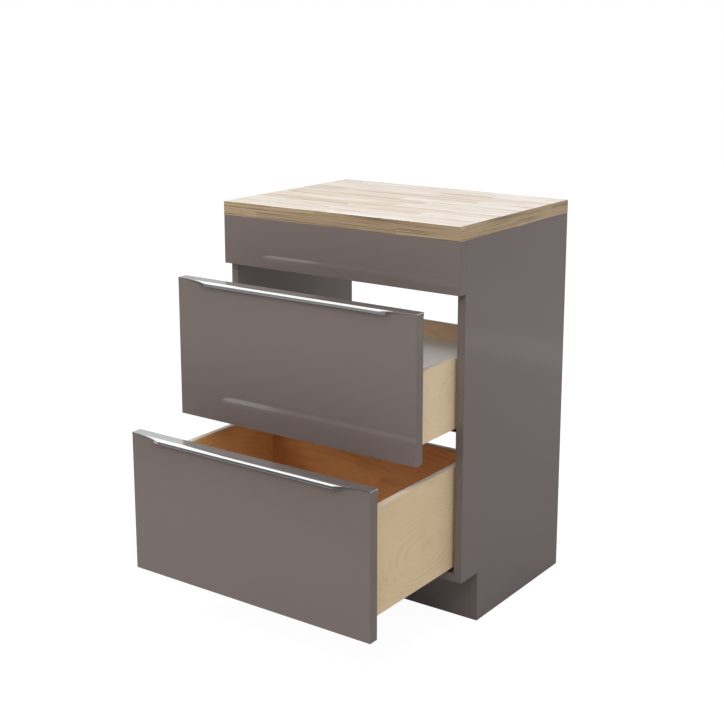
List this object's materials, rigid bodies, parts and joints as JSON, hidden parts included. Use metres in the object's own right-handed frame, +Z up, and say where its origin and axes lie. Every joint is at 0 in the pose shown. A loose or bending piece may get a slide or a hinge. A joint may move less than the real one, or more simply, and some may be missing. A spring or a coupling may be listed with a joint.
{
  "type": "vanity unit",
  "caption": "Freestanding bathroom vanity unit with a stave wood worktop, gloss taupe fronts, aluminium edge pulls and deep drawers on undermount runners",
  "frame": {"origin": "on the floor under the middle of the unit's box as it stands, drawers part-way out", "axes": "+Z up, +X to the right seen from the front, +Y towards the wall; the drawers open towards -Y"},
  "size_m": [0.6, 0.759, 0.85],
  "materials": {
    "taupe_lacquer": "gloss",
    "stave_worktop": "satin",
    "maple_drawer_board": "satin",
    "grey_laminate": "matte",
    "polished_aluminium": "polished",
    "dark_zinc_steel": "satin",
    "bright_zinc_steel": "satin",
    "black_nylon": "matte",
    "clear_bumper": "satin",
    "beech_dowel": "matte"
  },
  "bodies": {
    "cabinet": {"back_base_rail": "taupe_lacquer", "back_top_rail": "taupe_lacquer", "bottom_panel": "taupe_lacquer", "cam_bolts": "bright_zinc_steel", "cam_fittings": "bright_zinc_steel", "carcass_dowels": "beech_dowel", "fascia_screws": "bright_zinc_steel", "front_fascia": "taupe_lacquer", "front_top_rail": "taupe_lacquer", "left_side_panel": "taupe_lacquer", "lower_drawer_left_runner_channel": "dark_zinc_steel", "lower_drawer_right_runner_channel": "dark_zinc_steel", "lower_drawer_runner_screws": "bright_zinc_steel", "right_side_panel": "taupe_lacquer", "toe_kick_board": "taupe_lacquer", "upper_drawer_left_runner_channel": "dark_zinc_steel", "upper_drawer_right_runner_channel": "dark_zinc_steel", "upper_drawer_runner_screws": "bright_zinc_steel", "worktop": "stave_worktop", "worktop_bracket_screws": "bright_zinc_steel", "worktop_brackets": "bright_zinc_steel"},
    "upper_drawer": {"upper_drawer_back": "maple_drawer_board", "upper_drawer_battens": "maple_drawer_board", "upper_drawer_bumpers": "clear_bumper", "upper_drawer_catches": "black_nylon", "upper_drawer_dowels": "beech_dowel", "upper_drawer_floor": "grey_laminate", "upper_drawer_front": "taupe_lacquer", "upper_drawer_front_screws": "bright_zinc_steel", "upper_drawer_inner_front": "maple_drawer_board", "upper_drawer_left_runner_cap": "dark_zinc_steel", "upper_drawer_left_wall": "maple_drawer_board", "upper_drawer_pull": "polished_aluminium", "upper_drawer_pull_screws": "bright_zinc_steel", "upper_drawer_right_runner_cap": "dark_zinc_steel", "upper_drawer_right_wall": "maple_drawer_board"},
    "lower_drawer": {"lower_drawer_back": "maple_drawer_board", "lower_drawer_bumpers": "clear_bumper", "lower_drawer_catches": "black_nylon", "lower_drawer_dowels": "beech_dowel", "lower_drawer_floor": "grey_laminate", "lower_drawer_front": "taupe_lacquer", "lower_drawer_front_screws": "bright_zinc_steel", "lower_drawer_inner_front": "maple_drawer_board", "lower_drawer_left_runner_cap": "dark_zinc_steel", "lower_drawer_left_wall": "maple_drawer_board", "lower_drawer_pull": "polished_aluminium", "lower_drawer_pull_screws": "bright_zinc_steel", "lower_drawer_right_runner_cap": "dark_zinc_steel", "lower_drawer_right_wall": "maple_drawer_board"},
    "upper_runner_slides": {"upper_drawer_left_runner_slide": "dark_zinc_steel", "upper_drawer_right_runner_slide": "dark_zinc_steel", "upper_drawer_runner_rollers": "black_nylon"},
    "lower_runner_slides": {"lower_drawer_left_runner_slide": "dark_zinc_steel", "lower_drawer_right_runner_slide": "dark_zinc_steel", "lower_drawer_runner_rollers": "black_nylon"}
  },
  "joints": [
    {"name": "upper_drawer_slide", "type": "slide", "parent": "cabinet", "child": "upper_drawer", "axis": [0, -1, 0], "range_m": [-0.1478, 0.2272]},
    {"name": "upper_runner_slide", "type": "slide", "parent": "cabinet", "child": "upper_runner_slides", "axis": [0, -1, 0], "range_m": [-0.0739, 0.1136]},
    {"name": "lower_drawer_slide", "type": "slide", "parent": "cabinet", "child": "lower_drawer", "axis": [0, -1, 0], "range_m": [-0.2978, 0.0772]},
    {"name": "lower_runner_slide", "type": "slide", "parent": "cabinet", "child": "lower_runner_slides", "axis": [0, -1, 0], "range_m": [-0.1489, 0.0386]}
  ],
  "couplings": [
    {"joint": "upper_runner_slide", "follows": "upper_drawer_slide", "ratio": 0.5},
    {"joint": "lower_runner_slide", "follows": "lower_drawer_slide", "ratio": 0.5}
  ]
}
